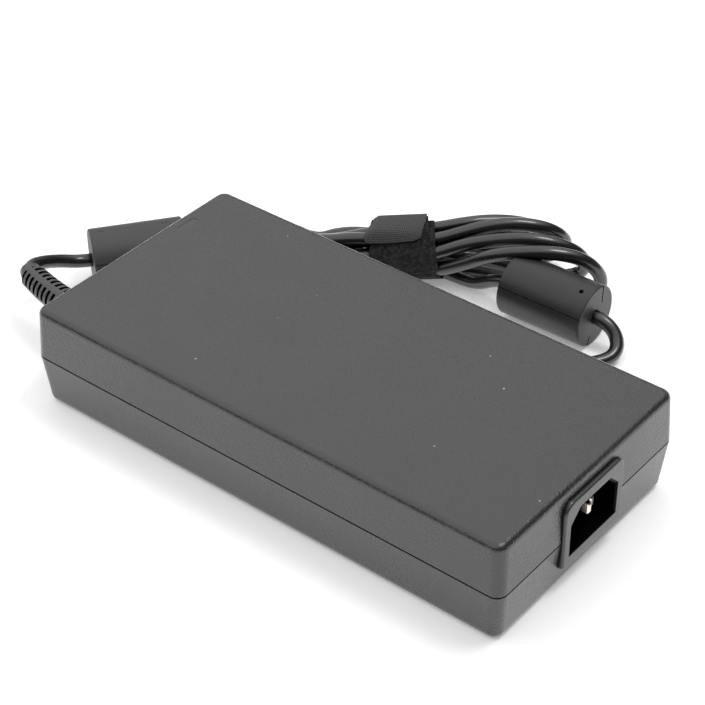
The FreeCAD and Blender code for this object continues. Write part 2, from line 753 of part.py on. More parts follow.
def make_components():
    fuse_x = BOARD_RIGHT - 20
    filter_x = BOARD_RIGHT - 24
    parts["fuse"] = block(fuse_x, -BOARD_HALF + 9, BOARD_TOP, 8.5, 4.2, 8.0, 0.4)
    parts["x_capacitor"] = block(filter_x, BOARD_HALF - 16, BOARD_TOP, 26.0, 10.0, 17.0, 0.8)
    make_line_choke(BOARD_RIGHT - 26, 0)
    primary_y = -BOARD_HALF + HEATSINK_INSET
    secondary_y = BOARD_HALF - HEATSINK_INSET
    make_heatsink("primary_heatsink", PRIMARY_X - 20, PRIMARY_X + 54, primary_y, -1)
    make_heatsink("secondary_heatsink", BOARD_LEFT + 16, PRIMARY_X - 14, secondary_y, 1)
    switches = [PRIMARY_X + step for step in (-12, 4, 20)]
    rectifiers = [BOARD_LEFT + step for step in (24, 38, 52)]
    parts["bridge_rectifier"] = transistors([PRIMARY_X + 46], primary_y, -1)
    parts["switching_transistors"] = transistors(switches, primary_y, -1)
    parts["output_rectifiers"] = transistors(rectifiers, secondary_y, 1)
    parts["bulk_capacitor"] = lying_can(PRIMARY_X - 8, BOARD_HALF - 14, 22.0, 42.0)
    columns = [BOARD_LEFT + 18, BOARD_LEFT + 30]
    cans = [standing_can(x, y, 10.0, 22.0) for x in columns for y in (0, 13, 26)]
    parts["output_capacitors"] = Part.makeCompound(cans)
    chips = [block(BOARD_LEFT + 42, -BOARD_HALF + 15, BOARD_TOP, 6.0, 5.0, 1.6),
             block(BOARD_LEFT + 56, -BOARD_HALF + 11, BOARD_TOP, 10.0, 6.0, 2.0),
             block(BOARD_LEFT + 30, -BOARD_HALF + 9, BOARD_TOP, 6.0, 5.0, 1.6)]
    parts["control_chips"] = Part.makeCompound(chips)
    pads = []
    for name, (along, y, size_x, size_y, leg, pad) in WOUND.items():
        x = PRIMARY_X + along
        top = CEILING - pad
        wound_core(name, x, y, size_x, size_y, top - BOARD_TOP, leg)
        pads.append(block(x, y, top, PAD_SIDE, PAD_SIDE, pad))
    parts["thermal_pads"] = Part.makeCompound(pads)


def make_wires(pins_end, middle):
    """Wires from the inlet's pins down to the board, and from the cord's end down to it."""
    mains = []
    for y, z, tip in pin_places(middle, LENGTH / 2 + INLET_PROUD):
        mains.append(wire_down(Vector(pins_end, y, z), Vector(-6.0, 0, 0), 0.9))
    parts["mains_wires"] = Part.makeCompound(mains)
    output = []
    for side in (-1, 1):
        start = ROUTE_RELIEF[0] + Vector(0, side * CORD / 4, 0)
        output.append(wire_down(start, Vector(7.0, side, 0), 1.1))
    parts["output_wires"] = Part.makeCompound(output)


def wire_down(start, level, radius):
    """A wire that leaves start level and then bends down to the board."""
    corner = start + level
    foot = corner + level * 0.2
    foot.z = BOARD_TOP
    return pipe(cord_path([start, corner, foot])[0], radius)


# Strain relief

def relief_radius(distance):
    """The sleeve tapers, steps in to a collar past the slits and is rounded at its end."""
    share = distance / RELIEF_LENGTH
    radius = (RELIEF_NECK + (RELIEF_TIP - RELIEF_NECK) * share) / 2
    from_end = RELIEF_LENGTH - distance
    if from_end < RELIEF_COLLAR:
        radius -= RELIEF_STEP
    if from_end < RELIEF_STEP:
        radius -= (RELIEF_STEP - from_end) ** 2
    return radius


def make_relief():
    """A tapered rubber sleeve along the cord, with rings of slits that let it bend."""
    edges = cord_path(ROUTE_RELIEF[:7])[0].Edges
    inside = ROUTE_RELIEF[0].x - (-LENGTH / 2 + WALL)
    collar = RELIEF_LENGTH - RELIEF_COLLAR
    stations = [collar * k / 5 for k in range(6)]
    stations += [collar + 0.5, RELIEF_LENGTH - 2.5, RELIEF_LENGTH - RELIEF_STEP,
                 RELIEF_LENGTH - RELIEF_STEP / 3, RELIEF_LENGTH]
    rings = []
    for s in stations:
        point, heading = on_wire(edges, inside + s)
        rings.append(Part.Wire([Part.makeCircle(relief_radius(s), point, heading)]))
    sleeve = Part.makeLoft(rings, True, True)
    start = Vector(-LENGTH / 2 + WALL, RELIEF_EXIT.y, PARTING)
    flange = Part.makeCylinder(RELIEF_FLANGE / 2, RELIEF_FLANGE_THICK, start, X_AXIS)
    bore = pipe(cord_path(ROUTE_RELIEF)[0], CORD / 2)
    relief = sleeve.fuse(flange).cut(bore)
    slits = []
    for k in range(SLIT_COUNT):
        point, heading = on_wire(edges, inside + WALL + SLIT_START + SLIT_PITCH * k)
        place = Placement(point, upright_turn(heading))
        for row in range(SLIT_ROWS):
            slit = ring_sector(RELIEF_CORE / 2, RELIEF_NECK, SLIT, SLIT_ANGLE)
            slit.rotate(Vector(0, 0, 0), X_AXIS, SLIT_TURN + 360 / SLIT_ROWS * row)
            slit.Placement = place.multiply(slit.Placement)
            slits.append(slit)
    relief = relief.cut(Part.makeCompound(slits))
    parts["strain_relief"] = single(relief)


def upright_turn(heading):
    """The turn that takes +X to heading and keeps Z up."""
    side = Z_AXIS.cross(heading)
    side.normalize()
    up = heading.cross(side)
    return Rotation(heading, side, up, "XYZ")


def on_wire(edges, distance):
    """Point and heading at a distance along connected edges."""
    left = distance
    for edge in edges:
        if left <= edge.Length:
            at = edge.getParameterByLength(left)
            return edge.valueAt(at), edge.tangentAt(at)
        left -= edge.Length
    last = edges[-1]
    return last.valueAt(last.LastParameter), last.tangentAt(last.LastParameter)


# Chokes

def make_choke(name, start, yaw, seam_angle, features):
    """A ferrite core in a two-part shell; the seam lies seam_angle above the near side."""
    place = Placement(start, Rotation(Z_AXIS, yaw))
    shell = Part.makeCylinder(CHOKE_RADIUS, CHOKE_LENGTH, Vector(0, 0, 0), X_AXIS)
    rims = [e for e in shell.Edges if e.BoundBox.XLength < 0.001]
    shell = shell.makeFillet(CHOKE_EDGE, rims)
    core_length = CHOKE_LENGTH - 2 * CHOKE_END
    core = Part.makeCylinder(CHOKE_RADIUS - CHOKE_WALL, core_length, Vector(CHOKE_END, 0, 0), X_AXIS)
    shell = shell.cut(core)
    bore = Part.makeCylinder(CORD / 2, CHOKE_LENGTH, Vector(0, 0, 0), X_AXIS)
    shell = shell.cut(bore)
    reach = 2 * CHOKE_RADIUS
    groove = box(-1, CHOKE_LENGTH + 1, -reach, reach, -SEAM / 2, SEAM / 2)
    kept = Part.makeCylinder(CHOKE_RADIUS - SEAM, CHOKE_LENGTH + 2, Vector(-1, 0, 0), X_AXIS)
    groove = groove.cut(kept)
    groove.rotate(Vector(0, 0, 0), X_AXIS, -seam_angle)
    shell = shell.cut(groove)
    for feature in features:
        shell = shell.cut(feature)
    upper = box(-1, CHOKE_LENGTH + 1, -reach, reach, 0, reach)
    upper.rotate(Vector(0, 0, 0), X_AXIS, -seam_angle)
    halves = {"upper": shell.common(upper), "lower": shell.cut(upper)}
    for half, shape in halves.items():
        shape.Placement = place.multiply(shape.Placement)
        parts[name + "_shell_" + half] = single(shape)
    ferrite = core.cut(Part.makeCylinder(CORD / 2 + 2 * FIT, CHOKE_LENGTH, Vector(0, 0, 0), X_AXIS))
    ferrite.Placement = place.multiply(ferrite.Placement)
    parts[name + "_ferrite"] = ferrite
    bore.Placement = place.multiply(bore.Placement)
    parts["cord_in_" + name] = bore


def radial_hole(distance, angle, radius, depth):
    """A blind hole in a choke's side, angle degrees above its near side."""
    outward = Vector(0, -math.cos(math.radians(angle)), math.sin(math.radians(angle)))
    start = Vector(distance, 0, 0) + outward * (CHOKE_RADIUS - depth)
    return Part.makeCylinder(radius, 2 * depth, start, outward)


def face_slit(rim, end, run):
    """A slot in a choke's right end face, from a place on its rim to an end, each (near side, up).

    It also runs a way along the choke's side from the rim.
    """
    floor = CHOKE_LENGTH - CHOKE_SLOT_DEPTH
    start = Vector(floor, -rim[0], rim[1])
    line = Vector(floor, -end[0], end[1]) - start
    half = CHOKE_SLOT / 2
    on_face = box(0, CHOKE_LENGTH, -half, half, -CHOKE_EDGE, line.Length)
    on_face.Placement = Placement(start, Rotation(Z_AXIS, line))
    on_side = box(CHOKE_LENGTH - run, CHOKE_LENGTH + 1, -half, half, CHOKE_RADIUS - CHOKE_SLOT_DEPTH,
                  CHOKE_RADIUS + 1)
    on_side.rotate(Vector(0, 0, 0), X_AXIS, math.degrees(math.atan2(rim[0], rim[1])))
    return on_face.fuse(on_side)


# Output plug

def make_plug():
    heading = Rotation(Z_AXIS, PLUG_YAW).multVec(X_AXIS)
    grip = PLUG_GRIP / 2
    sleeve = PLUG_SLEEVE / 2
    bore = PLUG_BORE / 2
    root = (sleeve + bore) / 2
    front = PLUG_TAIL + PLUG_GRIP_LENGTH
    seat = front - PLUG_TAIL / 2
    tail = CORD / 2 + 0.8
    profile = [(0, 0), (0, tail), (PLUG_TAIL, tail + 0.9), (PLUG_TAIL, grip - 0.8),
               (PLUG_TAIL + 0.8, grip), (front - 1.0, grip), (front, grip - 1.0), (front, root),
               (seat, root), (seat, 0)]
    parts["plug_grip"] = turned(profile, PLUG_START, heading)
    tip = front + PLUG_REACH
    ring = [(seat, bore), (seat, root), (front, root), (front, sleeve), (tip - 0.4, sleeve),
            (tip, sleeve - 0.4), (tip, bore)]
    parts["plug_sleeve"] = turned(ring, PLUG_START, heading)
    lining = 0.8
    cup = [(seat, 0), (seat, bore), (tip - lining, bore), (tip - lining, bore - lining),
           (front, bore - lining), (front, 0)]
    parts["plug_insulator"] = turned(cup, PLUG_START, heading)
    pin = [(front, 0), (front, 0.35), (tip - 2 * lining, 0.35), (tip - lining, 0.15), (tip - lining, 0)]
    parts["plug_centre_pin"] = turned(pin, PLUG_START, heading)


os.makedirs("parts", exist_ok=True)
make_covers()
pins_end, socket_middle = make_inlet()
make_board()
make_light()
make_components()
make_wires(pins_end, socket_middle)
make_relief()
pin_marks = [radial_hole(along, 94.0, 0.3, 0.6) for along in (4.0, 5.2, 28.3, 29.5)]
make_choke("choke_1", CHOKE_1_START, CHOKE_1_YAW, 22.0, pin_marks)
vent = radial_hole(31.5, 72.0, 0.9, 1.2)
make_choke("choke_2", CHOKE_2_START, CHOKE_2_YAW, 22.0, [
    vent, face_slit((-4.5, 11.1), (-4.3, 3.9), 3.2), face_slit((4.4, -11.2), (2.9, -7.5), 1.2)])
hank_start, hank_end = make_hank()
make_strap()
make_plug()
cord_tube("cord_to_choke_1", ROUTE_RELIEF)
cord_tube("cord_to_hank", ROUTE_TO_HANK + [hank_start])
cord_tube("cord_from_hank", [hank_end] + ROUTE_FROM_HANK)
cord_tube("cord_tail", ROUTE_TAIL)

for name, shape in parts.items():
    solids = shape.Solids
    if not all(s.isValid() and s.Volume > 0 for s in solids):
        print("bad solid", name)
    shape.exportStep(os.path.join("parts", name + ".step"))
print(len(parts), "nodes")
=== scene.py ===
"""Looks for the laptop power adapter: cord, strap, materials, floor, lights and camera.

Metres, in the part's own frame: the origin is the middle of the brick's underside, +X points to
the inlet end, +Y to the side where the cord lies, +Z up.
"""
import math

import bpy
from mathutils import Matrix, Vector


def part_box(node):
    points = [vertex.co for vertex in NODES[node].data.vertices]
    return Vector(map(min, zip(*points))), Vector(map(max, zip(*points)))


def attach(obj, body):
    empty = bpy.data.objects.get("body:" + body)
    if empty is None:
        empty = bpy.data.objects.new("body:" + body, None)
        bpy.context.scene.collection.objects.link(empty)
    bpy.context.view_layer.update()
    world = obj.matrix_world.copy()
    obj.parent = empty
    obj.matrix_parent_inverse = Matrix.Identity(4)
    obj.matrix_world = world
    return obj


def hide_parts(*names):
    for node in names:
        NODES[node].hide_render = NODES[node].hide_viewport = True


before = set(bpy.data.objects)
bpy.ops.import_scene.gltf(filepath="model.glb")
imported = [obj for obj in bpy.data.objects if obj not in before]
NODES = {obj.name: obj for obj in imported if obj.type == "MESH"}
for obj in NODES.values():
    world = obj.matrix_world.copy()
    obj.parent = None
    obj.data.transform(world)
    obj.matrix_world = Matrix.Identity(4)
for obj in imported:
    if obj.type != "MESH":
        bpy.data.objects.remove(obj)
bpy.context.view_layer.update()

MM = 0.001

# The brick's back left corner, from which the cord's places are measured
CASE_LOW, CASE_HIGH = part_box("bottom_cover")
CORNER_X = CASE_LOW.x
CORNER_Y = CASE_HIGH.y

# Camera
CAMERA_AZIMUTH = 39.046
CAMERA_ELEVATION = 37.134
CAMERA_ROLL = -0.43
CAMERA_PLACE = Vector((0.3363, -0.4109, 0.4402))
CAMERA_LENS = 100.84

# Cord. It is held straight for a stretch at each end of a choke.
CORD = 0.0053
CHOKE_LENGTH = 0.036
HOLD = 0.007


def lay(along, out, up):
    """A place measured in millimetres from the brick's back left corner."""
    return Vector((CORNER_X + along * MM, CORNER_Y + out * MM, up * MM))


def deselect_all():
    for obj in bpy.context.selected_objects:
        obj.select_set(False)


# Camera

def add_camera():
    lens = bpy.data.cameras.new("photo_camera")
    lens.lens = CAMERA_LENS
    lens.sensor_width = 36.0
    lens.clip_start = 0.01
    camera = bpy.data.objects.new("photo_camera", lens)
    turn = Matrix.Rotation(math.radians(CAMERA_AZIMUTH), 4, "Z")
    tilt = Matrix.Rotation(math.radians(90 - CAMERA_ELEVATION), 4, "X")
    roll = Matrix.Rotation(math.radians(CAMERA_ROLL), 4, "Z")
    camera.matrix_world = Matrix.Translation(CAMERA_PLACE) @ turn @ tilt @ roll
    bpy.context.scene.collection.objects.link(camera)
    bpy.context.scene.camera = camera


add_camera()


# Output cord: route points given one by one, from the same places as the part's cord

RELIEF_EXIT = lay(0, -73.3, 20.5)
CHOKE_1_START = lay(-35.1, -37.9, 12.0)
CHOKE_1_YAW = 52.9
CHOKE_2_START = lay(100.3, 49.95, 12.0)
CHOKE_2_YAW = 1.2
TIE = lay(53.6, 41.9, 13.4)
PLUG_START = lay(108.0, 16.0, 5.2)
PLUG_YAW = 187.6

ROUTE_RELIEF = [
    RELIEF_EXIT,
    lay(-4.0, -73.3, 20.5),
    lay(-16.0, -71.9, 20.5),
    lay(-28.0, -69.4, 20.4),
    lay(-37.2, -67.0, 20.6),
    lay(-41.5, -62.8, 20.2),
    lay(-41.9, -56.0, 18.0),
    lay(-41.2, -48.8, 14.9),
    lay(-38.7, -42.7, 12.4),
]
ROUTE_TO_HANK = [
    lay(-9.2, -3.6, 11.6),
    lay(-5.2, 3.2, 7.6),
    lay(3.4, 6.9, 2.9),
    lay(15.2, 7.9, 2.8),
    lay(28.5, 12.2, 3.0),
    lay(38.8, 19.4, 6.2),
    lay(45.6, 25.2, 8.3),
]
ROUTE_FROM_HANK = [
    lay(69.8, 48.7, 4.2),
    lay(76.6, 49.4, 3.8),
    lay(84.2, 49.6, 4.6),
    lay(92.2, 49.8, 9.8),
]
ROUTE_TAIL = [
    lay(141.6, 51.2, 10.8),
    lay(146.0, 50.6, 7.6),
    lay(148.6, 47.6, 4.6),
    lay(148.6, 43.0, 3.0),
    lay(145.6, 37.4, 2.8),
    lay(139.6, 30.2, 2.8),
    lay(131.0, 22.8, 2.8),
    lay(120.0, 17.6, 3.4),
    PLUG_START,
]

# Hank: nine strands through the strap, folded over at both ends. A place is the distance along the
# bundle, the offset to the far side and the height.
HANK_HEADING = math.radians(38.0)
HANK_BEND = math.radians(0.48)
STRAIGHT_LEFT = 7.0

# Offset and height of each strand at the strap's left edge and at its right edge
IN_STRAP = [
    ((-4.8, 4.3), (-4.4, 4.6)), ((0.8, 3.8), (1.6, 4.2)), ((6.2, 4.9), (6.8, 6.9)),
    ((8.9, 9.7), (8.9, 11.9)), ((6.3, 14.5), (6.4, 17.2)), ((1.2, 18.2), (1.2, 20.6)),
    ((-4.4, 19.2), (-4.4, 19.1)), ((-8.9, 14.2), (-8.7, 15.8)), ((-8.9, 8.6), (-8.9, 8.3)),
]

# Folds on the right, from the upper strand to the lower one
FOLD_8_1 = [
    (24, -13.2, 14.2), (34, -18.8, 22.2), (46, -21.6, 25.2), (58, -22.2, 25.2), (68, -21.8, 22.0),
    (74.5, -20.8, 14.8), (75, -19.8, 7.2), (69, -18.6, 2.9), (58, -15.6, 2.9), (40, -4.6, 2.9),
]
FOLD_7_2 = [
    (24, -9.2, 20.4), (35, -10.0, 22.8), (46, -11.2, 24.4), (56, -12.0, 23.2), (65, -11.4, 19.4),
    (70, -9.8, 13.0), (69, -7.2, 6.0), (61, -5.8, 2.9), (50, -2.0, 2.9), (34, 6.4, 2.9),
    (21, 7.0, 4.6),
]
FOLD_6_3 = [
    (24, -3.6, 22.4), (34, -2.0, 24.2), (44, -1.2, 24.6), (53, -1.0, 23.0), (60, 0.6, 19.0),
    (63.8, 3.0, 12.8), (61, 5.6, 6.4), (53, 7.6, 3.0), (43, 11.2, 2.9), (31, 13.8, 4.0),
    (22, 12.6, 7.6),
]
FOLD_5_4 = [
    (24, 2.4, 22.2), (33, 4.2, 22.2), (42, 6.2, 20.6), (49, 9.0, 17.4), (53, 12.8, 12.8),
    (51.5, 16.6, 8.4), (44, 18.6, 6.6), (34, 17.4, 9.4), (24, 11.4, 14.4),
]

# Folds on the left, from the upper strand to the lower one
FOLD_7_0 = [
    (-20, -9.6, 13.4), (-30, -10.4, 12.6), (-41, -11.4, 14.4), (-49.4, -11.2, 14.5),
    (-53.5, -8.9, 11.1), (-53.5, -5.6, 6.3), (-49.4, -3.3, 2.9), (-40, -3.3, 2.9),
    (-28, -4.3, 2.9),
]
FOLD_6_1 = [
    (-20, -4.4, 18.9), (-30, -4.4, 16.6), (-42, -5.2, 16.8), (-56.6, -5.0, 16.8),
    (-61.5, -2.6, 12.7), (-61.5, 0.6, 7.0), (-56.6, 2.8, 2.9), (-46, 3.0, 2.9), (-36, 2.4, 2.9),
    (-28, 1.2, 2.9),
]
FOLD_5_2 = [
    (-20, 1.6, 15.6), (-30, 1.0, 13.2), (-42, 0.6, 13.6), (-53.4, 1.4, 13.8),
    (-57.5, 3.8, 10.6), (-57.5, 7.4, 6.0), (-53.4, 9.8, 2.9), (-45, 9.6, 2.9), (-36, 8.0, 2.9),
    (-28, 6.6, 2.9),
]
FOLD_4_3 = [
    (-21, 8.4, 13.2), (-28, 9.0, 11.2), (-34, 7.8, 9.2), (-41, 7.8, 9.8), (-50, 9.0, 10.8),
    (-54.2, 12.0, 8.8), (-54.2, 16.8, 5.1), (-50, 19.4, 2.9), (-44, 17.8, 2.9), (-37, 14.8, 2.9),
    (-28, 12.6, 4.0), (-20, 11.2, 7.0),
]


def along_bundle(distance):
    """Middle of the bundle and its heading, at a distance from the tie. It bends on the left."""
    step = Vector((math.cos(HANK_HEADING), math.sin(HANK_HEADING), 0))
    middle = Vector((TIE.x, TIE.y, 0)) + step * max(distance, -STRAIGHT_LEFT) * MM
    if distance >= -STRAIGHT_LEFT:
        return middle, HANK_HEADING
    turned_to = HANK_HEADING + HANK_BEND * (distance + STRAIGHT_LEFT)
    bent_x = (math.sin(turned_to) - math.sin(HANK_HEADING)) / HANK_BEND
    bent_y = (math.cos(HANK_HEADING) - math.cos(turned_to)) / HANK_BEND
    return middle + Vector((bent_x, bent_y, 0)) * MM, turned_to


def bundle_point(distance, across, height):
    middle, heading = along_bundle(distance)
    side = Vector((-math.sin(heading), math.cos(heading), 0))
    return middle + side * across * MM + Vector((0, 0, height * MM))


def rightward(strand):
    """Points that hold a strand straight through the strap, from left to right."""
    left, right = (bundle_point(step, *place) for step, place in zip((-12, 13), IN_STRAP[strand]))
    return [left, left.lerp(right, 0.24), left.lerp(right, 0.72), right]


def leftward(strand):
    return rightward(strand)[::-1]


def fold(points):
    return [bundle_point(*place) for place in points]


def hank_points():
    """The hank's points in order: to and fro through the strap, with a fold at each end."""
    points = rightward(8) + fold(FOLD_8_1) + leftward(1) + fold(FOLD_6_1)[::-1]
    points += rightward(6) + fold(FOLD_6_3) + leftward(3) + fold(FOLD_4_3)[::-1]
    points += rightward(4) + fold(FOLD_5_4)[::-1] + leftward(5) + fold(FOLD_5_2)
    points += rightward(2) + fold(FOLD_7_2)[::-1] + leftward(7) + fold(FOLD_7_0)
    return points + rightward(0)


def heading_of(yaw):
    return Vector((math.cos(math.radians(yaw)), math.sin(math.radians(yaw)), 0))


def through_choke(start, yaw):
    """Points that hold the cord straight through a choke."""
    heading = heading_of(yaw)
    return [start + heading * step for step in (0, HOLD, CHOKE_LENGTH - HOLD, CHOKE_LENGTH)]


def add_cord(name, points, diameter):
    curve = bpy.data.curves.new(name, "CURVE")
    curve.dimensions = "3D"
    curve.bevel_depth = diameter / 2
    curve.bevel_resolution = 6
    curve.resolution_u = 8
    curve.use_fill_caps = True
    spline = curve.splines.new("NURBS")
    spline.points.add(len(points) - 1)
    for point, place in zip(spline.points, points):
        point.co = (*place, 1.0)
    spline.order_u = 3
    spline.use_endpoint_u = True
    cord = bpy.data.objects.new(name, curve)
    bpy.context.scene.collection.objects.link(cord)
    return cord


cord_points = ROUTE_RELIEF + through_choke(CHOKE_1_START, CHOKE_1_YAW) + ROUTE_TO_HANK
cord_points += hank_points() + ROUTE_FROM_HANK
cord_points += through_choke(CHOKE_2_START, CHOKE_2_YAW) + ROUTE_TAIL
cord_points.append(PLUG_START + heading_of(PLUG_YAW) * 0.006)
cord = add_cord("output_cord", cord_points, CORD)


# Strap: a black loop band wound round the strands, and a grey woven flap lapped over its top. Its
# sizes are in millimetres and its angles in degrees.

BUNDLE_AHEAD = Vector((math.cos(HANK_HEADING), math.sin(HANK_HEADING), 0))
BUNDLE_SIDE = Vector((-math.sin(HANK_HEADING), math.cos(HANK_HEADING), 0))
STRAP_WIDTH = 21.5
STRAP_THICK = 0.45
TIE_PLACE = Vector((0.0, TIE.z / MM))


def smooth_step(start, end, value):
    share = min(max((value - start) / (end - start), 0.0), 1.0)
    return share * share * (3 - 2 * share)


def bundle_radius(angle, along):
    """Distance from the tie to a band pulled tight round the nine strands, in mm. Angles run from
    the far side over the top."""
    share = min(max((along + 12) / 25, 0.0), 1.0)
    strands = [Vector(left).lerp(Vector(right), share) for left, right in IN_STRAP]
    reach = math.inf
    for lean in range(-60, 61, 4):
        facing = Vector((math.cos(math.radians(angle + lean)), math.sin(math.radians(angle + lean))))
        support = max((place - TIE_PLACE).dot(facing) for place in strands) + CORD / MM / 2
        reach = min(reach, support / math.cos(math.radians(lean)))
    return reach


def strap_place(angle, lift, along):
    """A place on the strap: angle from the far side over the top, lift off the strands and
    distance along the bundle in mm."""
    turn = math.radians(angle)
    outward = Vector((0, 0, 1)) * math.sin(turn) + BUNDLE_SIDE * math.cos(turn)
    return TIE + (outward * (bundle_radius(angle, along) + lift) + BUNDLE_AHEAD * along) * MM


def grid_places(rows, columns, place):
    """A grid's places row by row, each from its share of the length and of the width."""
    return [place(row / rows, column / columns) for row in range(rows + 1)
            for column in range(columns + 1)]


def grid_faces(rows, columns):
    faces = []
    for row in range(rows):
        for column in range(columns):
            corner = row * (columns + 1) + column
            faces.append((corner, corner + 1, corner + columns + 2, corner + columns + 1))
    return faces


def add_cloth_map(mesh, places, columns):
    """A UV map in metres, measured along the strip's middle and across its width."""
    middle = places[columns // 2::columns + 1]
    lengths = [0.0]
    for here, following in zip(middle, middle[1:]):
        lengths.append(lengths[-1] + (following - here).length)
    layer = mesh.uv_layers.new(name="cloth")
    for loop in mesh.loops:
        row, column = divmod(loop.vertex_index, columns + 1)
        layer.data[loop.index].uv = (column / columns * STRAP_WIDTH * MM, lengths[row])


def thicken(strip, thickness):
    """Gives a sheet its thickness, half to each side, and rounds its edges a little."""
    deselect_all()
    bpy.context.view_layer.objects.active = strip
    strip.select_set(True)
    wall = strip.modifiers.new("cloth_thickness", "SOLIDIFY")
    wall.thickness = thickness * MM
    wall.offset = 0.0
    bpy.ops.object.modifier_apply(modifier=wall.name)
    soft_edge = strip.modifiers.new("soft_edge", "BEVEL")
    soft_edge.width = thickness * MM * 0.3
    soft_edge.segments = 2
    soft_edge.limit_method = "ANGLE"
    bpy.ops.object.modifier_apply(modifier=soft_edge.name)


def add_strip(name, rows, columns, place):
    """A strip of cloth from a grid of places."""
    places = grid_places(rows, columns, place)
    mesh = bpy.data.meshes.new(name)
    mesh.from_pydata(places, [], grid_faces(rows, columns))
    strip = bpy.data.objects.new(name, mesh)
    bpy.context.scene.collection.objects.link(strip)
    add_cloth_map(mesh, places, columns)
    for polygon in mesh.polygons:
        polygon.use_smooth = True
    thicken(strip, STRAP_THICK)
    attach(strip, "root")
    return strip


BAND_START = -680.0
BAND_END = -30.0
BAND_BULGE = 2.0
LAYER = 0.5


def top_bulge(angle, from_far, to_near):
    """Share of the slack that stands off the strands over the top of the bundle."""
    return smooth_step(from_far, from_far + 55.0, angle) * smooth_step(to_near, to_near - 60.0, angle)


def band_place(share, across):
    """The loop band winds nearly two turns. Its inner turn lies further to the right."""
    angle = BAND_START + (BAND_END - BAND_START) * share
    outer = smooth_step(-450.0, -310.0, angle)
    down = (1 - math.sin(math.radians(angle))) / 2
    shift = (1.0 - outer) * (1.5 + 4.0 * down ** 2) - outer * (0.9 + 3.1 * down)
    slack = 0.08 * math.sin(math.radians(9 * angle)) + 0.12 * math.sin(math.radians(2.3 * angle))
    curl = 0.15 * (2 * across - 1) ** 4
    bulge = (BAND_BULGE - 0.3 * across) * top_bulge(angle, -335.0, -200.0)
    return strap_place(angle, LAYER / 2 + LAYER * outer + abs(slack) + bulge - curl,
                       (across - 0.5) * STRAP_WIDTH + shift)


FLAP_START = -62.0
FLAP_END = 142.0
FLAP_BULGE = 2.9
RIGHT_CUT = 7.0
LEFT_CUT = 5.0


def flap_place(share, across):
    """The flap leaves the band on the far side. Its free end has cut corners and lies askew."""
    cut = RIGHT_CUT * smooth_step(0.87, 1.0, across) + LEFT_CUT * smooth_step(0.07, 0.0, across)
    end = FLAP_END - cut - 4.0 * smooth_step(0.35, 0.9, across)
    angle = FLAP_START + (end - FLAP_START) * share
    over = smooth_step(FLAP_START, -25.0, angle)
    bulge = (FLAP_BULGE - 0.9 * across) * top_bulge(angle, 25.0, 165.0)
    droop = bulge * smooth_step(0.12, 0.0, across)
    lift = LAYER * (1.5 + over) + 0.12 + bulge - droop
    skew = -1.4 - 2.4 * smooth_step(80.0, 136.0, angle)
    return strap_place(angle, lift, (across - 0.5) * STRAP_WIDTH + skew)


band = add_strip("strap_loop_band", 150, 12, band_place)
flap = add_strip("strap_flap", 64, 14, flap_place)
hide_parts("hank_strap")


# Shared effects, as shader node groups

def new_group(name, inputs, outputs):
    """A shader node group with float and vector inputs and float outputs."""
    group = bpy.data.node_groups.new(name, "ShaderNodeTree")
    for label, value in inputs.items():
        kind = "NodeSocketVector" if value is None else "NodeSocketFloat"
        socket = group.interface.new_socket(label, in_out="INPUT", socket_type=kind)
        if value is not None:
            socket.default_value = value
    for label in outputs:
        group.interface.new_socket(label, in_out="OUTPUT", socket_type="NodeSocketFloat")
    enter = group.nodes.new("NodeGroupInput")
    leave = group.nodes.new("NodeGroupOutput")
    return group, enter, leave


def add_node(tree, kind, values=None, **settings):
    """A node with its settings, and with values or links for its inputs."""
    node = tree.nodes.new(kind)
    for setting, value in settings.items():
        setattr(node, setting, value)
    for label, value in (values or {}).items():
        socket = node.inputs[label]
        if isinstance(value, bpy.types.NodeSocket):
            tree.links.new(value, socket)
        else:
            socket.default_value = value
    return node


def add_math(tree, operation, first, second=0.0, third=0.0):
    values = {0: first, 1: second}
    if operation in ("MULTIPLY_ADD", "COMPARE"):
        values[2] = third
    return add_node(tree, "ShaderNodeMath", values, operation=operation).outputs[0]


def add_range(tree, value, from_low, from_high, to_low, to_high):
    node = add_node(tree, "ShaderNodeMapRange", {
        "Value": value, "From Min": from_low, "From Max": from_high,
        "To Min": to_low, "To Max": to_high}, interpolation_type="SMOOTHSTEP")
    return node.outputs["Result"]


def make_grain_group():
    """Moulded texture: fine pits with a slow change of tone. Sizes are in millimetres."""
    tree, enter, leave = new_group("moulded_grain", {"Place": None, "Size": 0.4, "Patch": 30.0},
                                   ["Height", "Tone"])
    fine = add_math(tree, "DIVIDE", 1000.0, enter.outputs["Size"])
    slow = add_math(tree, "DIVIDE", 1000.0, enter.outputs["Patch"])
    pits = add_node(tree, "ShaderNodeTexVoronoi", {"Vector": enter.outputs["Place"],
                                                   "Scale": fine}, feature="SMOOTH_F1")
    rough = add_node(tree, "ShaderNodeTexNoise", {"Vector": enter.outputs["Place"], "Scale": fine,
                                                  "Detail": 2.0, "Roughness": 0.6})
    patch = add_node(tree, "ShaderNodeTexNoise", {"Vector": enter.outputs["Place"], "Scale": slow,
                                                  "Detail": 3.0, "Roughness": 0.55})
    height = add_math(tree, "MULTIPLY_ADD", pits.outputs["Distance"], 0.7, rough.outputs["Fac"])
    tone = add_math(tree, "MULTIPLY_ADD", rough.outputs["Fac"], 0.3,
                    add_math(tree, "MULTIPLY", patch.outputs["Fac"], 0.7))
    tree.links.new(height, leave.inputs["Height"])
    tree.links.new(tone, leave.inputs["Tone"])
    return tree


